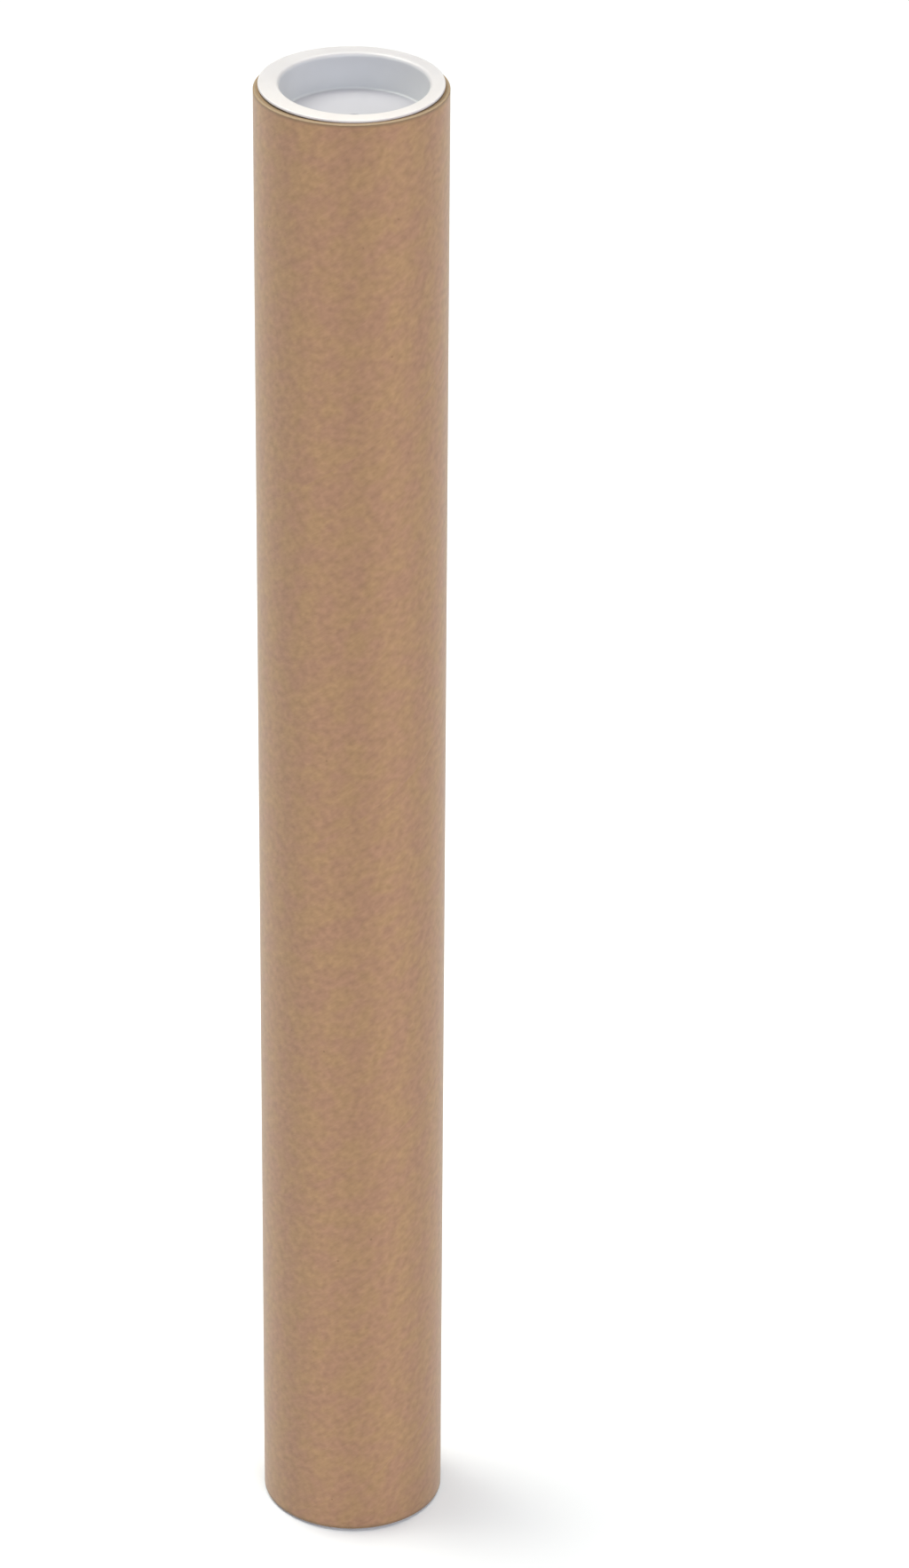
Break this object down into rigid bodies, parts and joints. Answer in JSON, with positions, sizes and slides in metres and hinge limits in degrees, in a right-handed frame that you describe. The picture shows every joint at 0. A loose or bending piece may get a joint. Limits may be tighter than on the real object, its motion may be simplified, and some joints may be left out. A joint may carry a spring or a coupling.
{
  "type": "cardboard mailing tube",
  "caption": "Round brown kraft mailing tube standing on end, closed at both ends by recessed white push-in caps that pull out.",
  "frame": {"origin": "centre of the lower face of the bottom cap's flange, which the tube stands on", "axes": "+Z along the tube's axis, from the bottom cap to the top cap; X and Y are any two square radii, because everything is round"},
  "size_m": [0.053, 0.053, 0.4516],
  "materials": {
    "kraft_board": "uncoated brown kraft paper, matt",
    "cap_plastic": "moulded white low-density polyethylene, soft satin"
  },
  "bodies": {
    "bottom_cap": {"bottom_cap": "cap_plastic"},
    "tube": {"kraft_tube": "kraft_board"},
    "top_cap": {"top_cap": "cap_plastic"}
  },
  "joints": [
    {"name": "bottom_cap_pull", "type": "slide", "parent": "bottom_cap", "child": "tube", "axis": [0, 0, 1], "range_m": [0, 0.013]},
    {"name": "top_cap_pull", "type": "slide", "parent": "tube", "child": "top_cap", "axis": [0, 0, 1], "range_m": [0, 0.013]}
  ]
}
